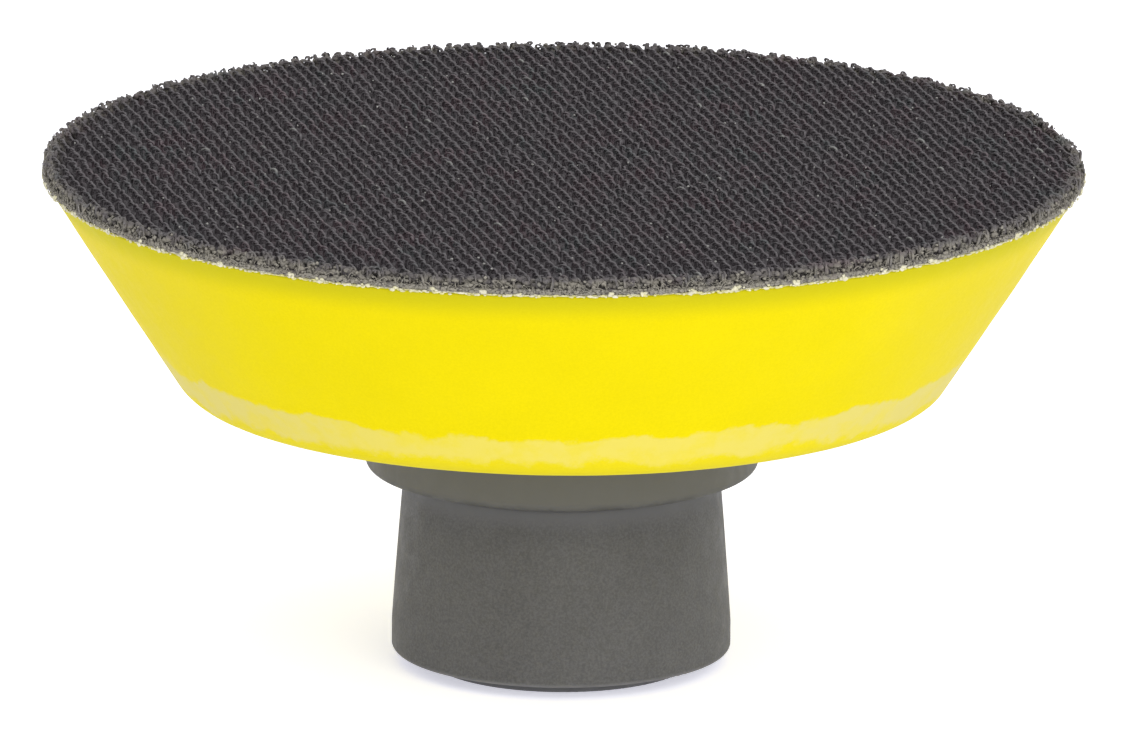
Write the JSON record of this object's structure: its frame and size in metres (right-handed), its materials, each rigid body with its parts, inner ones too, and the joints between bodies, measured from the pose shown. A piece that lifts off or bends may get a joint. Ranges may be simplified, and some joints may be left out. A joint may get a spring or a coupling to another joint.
{
  "type": "rotary polisher head",
  "caption": "Quick-change rotary polishing head: still nose collar and a turning foam pad with a hook face, shown hook face up.",
  "frame": {"origin": "centre of the underside of the ring under the nose collar, on the spindle axis", "axes": "+Z along the spindle from the machine to the hook face; the collar's clamp screw faces +Y"},
  "size_m": [0.0762, 0.0762, 0.0382],
  "materials": {
    "grey_plastic": "fine matte texture",
    "turned_aluminium": "turned",
    "dark_rubber": "moulded",
    "black_steel": "black oxide",
    "spring_steel": "phosphated",
    "bearing_steel": "ground",
    "pressed_steel": "pressed",
    "ball_chrome": "polished",
    "nylon_cage": "moulded",
    "shaft_steel": "turned",
    "plate_steel": "zinc plated",
    "yellow_foam": "moulded foam skin",
    "cream_adhesive": "set glue",
    "hook_tape": "woven hook tape"
  },
  "bodies": {
    "collar": {"nose_collar": "grey_plastic", "bearing_housing": "turned_aluminium", "base_ring": "dark_rubber", "clamp_screw": "black_steel", "dust_seal": "dark_rubber", "bore_circlip": "spring_steel", "outer_race_spacer": "turned_aluminium", "lower_outer_race": "bearing_steel", "upper_outer_race": "bearing_steel", "lower_bearing_shields": "pressed_steel", "upper_bearing_shields": "pressed_steel"},
    "pad": {"spindle": "shaft_steel", "shaft_circlip": "spring_steel", "disc_spring": "spring_steel", "lower_inner_race": "bearing_steel", "upper_inner_race": "bearing_steel", "inner_race_spacer": "pressed_steel", "hub_flange": "grey_plastic", "threaded_insert": "shaft_steel", "carrier_plate": "plate_steel", "plate_screws": "black_steel", "foam_cushion": "yellow_foam", "adhesive_film": "cream_adhesive", "hook_backing": "hook_tape", "hook_pile": "hook_tape"},
    "lower_ball_set": {"lower_balls": "ball_chrome", "lower_ball_cage": "nylon_cage"},
    "upper_ball_set": {"upper_balls": "ball_chrome", "upper_ball_cage": "nylon_cage"}
  },
  "joints": [
    {"name": "pad_spin", "type": "hinge", "parent": "collar", "child": "pad", "pos_m": [0, 0, 0.01405], "axis": [0, 0, 1], "continuous": true},
    {"name": "lower_balls_roll", "type": "hinge", "parent": "collar", "child": "lower_ball_set", "pos_m": [0, 0, 0.01105], "axis": [0, 0, 1], "continuous": true},
    {"name": "upper_balls_roll", "type": "hinge", "parent": "collar", "child": "upper_ball_set", "pos_m": [0, 0, 0.01645], "axis": [0, 0, 1], "continuous": true}
  ],
  "couplings": [
    {"joint": "lower_balls_roll", "follows": "pad_spin", "ratio": 0.4278},
    {"joint": "upper_balls_roll", "follows": "pad_spin", "ratio": 0.4278}
  ]
}
